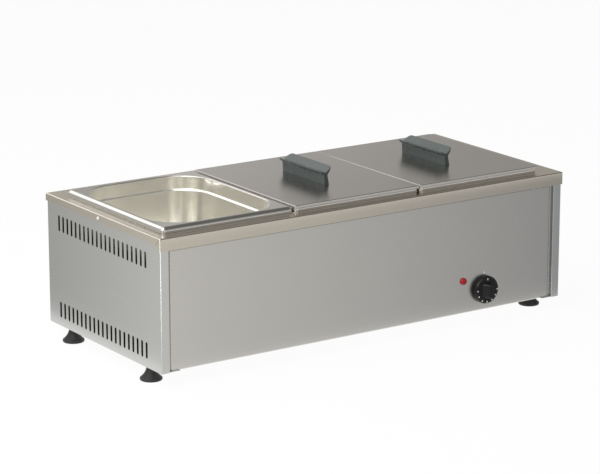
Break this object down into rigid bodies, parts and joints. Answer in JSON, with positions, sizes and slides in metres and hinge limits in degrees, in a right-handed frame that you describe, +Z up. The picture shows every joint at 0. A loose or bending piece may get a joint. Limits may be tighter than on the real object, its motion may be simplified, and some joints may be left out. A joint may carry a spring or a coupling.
{
  "type": "bain marie",
  "caption": "Counter-top bain marie: stainless water bath casing with lift-out pans, flat lids with moulded handles, thermostat knob, pilot lamp and screw-in feet.",
  "frame": {"origin": "under the middle of the object's box, on the surface that the feet stand on", "axes": "+X to the right along the row of pans, +Y to the back, +Z up"},
  "size_m": [0.8612, 0.427, 0.3066],
  "materials": {
    "stainless_casing": "satin stainless sheet",
    "stainless_pan": "bright drawn stainless",
    "stainless_lid": "satin stainless sheet",
    "stainless_tank": "mill finish stainless",
    "steel_fasteners": "bright zinc plated steel",
    "element_sheath": "dull nickel alloy sheath",
    "brass_fittings": "turned brass",
    "copper_sensor": "drawn copper",
    "silicone_seal": "matt red silicone",
    "thermostat_housing": "matt moulded phenolic",
    "knob_plastic": "satin black moulded phenolic",
    "handle_plastic": "satin dark grey moulded phenolic",
    "foot_plastic": "satin black moulded plastic",
    "gland_plastic": "matt black nylon",
    "red_lens": "clear red lens"
  },
  "bodies": {
    "casing": {"apron_rivets": "steel_fasteners", "back_panel": "stainless_casing", "back_panel_screws": "steel_fasteners", "base_plate": "stainless_casing", "base_plate_screws": "steel_fasteners", "bulb_clip": "stainless_tank", "cable_gland": "gland_plastic", "capillary_tube": "copper_sensor", "element_bushings": "brass_fittings", "element_nuts": "brass_fittings", "element_rests": "stainless_tank", "element_seals": "silicone_seal", "element_terminals": "steel_fasteners", "foot_nuts": "steel_fasteners", "front_panel": "stainless_casing", "gland_dome_nut": "gland_plastic", "gland_lock_nut": "gland_plastic", "heating_element": "element_sheath", "left_side_panel": "stainless_casing", "pilot_lamp_body": "gland_plastic", "pilot_lamp_clip": "steel_fasteners", "pilot_lamp_lens": "red_lens", "right_side_panel": "stainless_casing", "terminal_block": "thermostat_housing", "terminal_block_screws": "steel_fasteners", "thermostat_body": "thermostat_housing", "thermostat_bulb": "copper_sensor", "thermostat_screws": "steel_fasteners", "top_panel": "stainless_casing", "water_tank": "stainless_tank"},
    "knob": {"control_knob": "knob_plastic", "thermostat_spindle": "steel_fasteners"},
    "left_pan": {"left_pan": "stainless_pan"},
    "middle_pan": {"middle_pan": "stainless_pan"},
    "right_pan": {"right_pan": "stainless_pan"},
    "middle_lid": {"middle_lid": "stainless_lid", "middle_lid_handle": "handle_plastic", "middle_lid_handle_screws": "steel_fasteners"},
    "right_lid": {"right_lid": "stainless_lid", "right_lid_handle": "handle_plastic", "right_lid_handle_screws": "steel_fasteners"},
    "front_left_foot": {"front_left_foot": "foot_plastic", "front_left_foot_stud": "steel_fasteners"},
    "front_right_foot": {"front_right_foot": "foot_plastic", "front_right_foot_stud": "steel_fasteners"},
    "back_left_foot": {"back_left_foot": "foot_plastic", "back_left_foot_stud": "steel_fasteners"},
    "back_right_foot": {"back_right_foot": "foot_plastic", "back_right_foot_stud": "steel_fasteners"}
  },
  "joints": [
    {"name": "knob_turn", "type": "hinge", "parent": "casing", "child": "knob", "pos_m": [0.2574, -0.1895, 0.0672], "axis": [0, 1, 0], "range_deg": [0, 275]},
    {"name": "left_pan_lift", "type": "slide", "parent": "casing", "child": "left_pan", "axis": [0, 0, 1], "range_m": [0, 0.18]},
    {"name": "middle_pan_lift", "type": "slide", "parent": "casing", "child": "middle_pan", "axis": [0, 0, 1], "range_m": [0, 0.18]},
    {"name": "right_pan_lift", "type": "slide", "parent": "casing", "child": "right_pan", "axis": [0, 0, 1], "range_m": [0, 0.18]},
    {"name": "middle_lid_lift", "type": "slide", "parent": "middle_pan", "child": "middle_lid", "axis": [0, 0, 1], "range_m": [0, 0.08]},
    {"name": "right_lid_lift", "type": "slide", "parent": "right_pan", "child": "right_lid", "axis": [0, 0, 1], "range_m": [0, 0.08]},
    {"name": "front_left_foot_turn", "type": "hinge", "parent": "casing", "child": "front_left_foot", "pos_m": [-0.4099, -0.131, 0], "axis": [0, 0, 1], "continuous": true},
    {"name": "front_right_foot_turn", "type": "hinge", "parent": "casing", "child": "front_right_foot", "pos_m": [0.4099, -0.131, 0], "axis": [0, 0, 1], "continuous": true},
    {"name": "back_left_foot_turn", "type": "hinge", "parent": "casing", "child": "back_left_foot", "pos_m": [-0.4099, 0.1365, 0], "axis": [0, 0, 1], "continuous": true},
    {"name": "back_right_foot_turn", "type": "hinge", "parent": "casing", "child": "back_right_foot", "pos_m": [0.4099, 0.1365, 0], "axis": [0, 0, 1], "continuous": true}
  ]
}
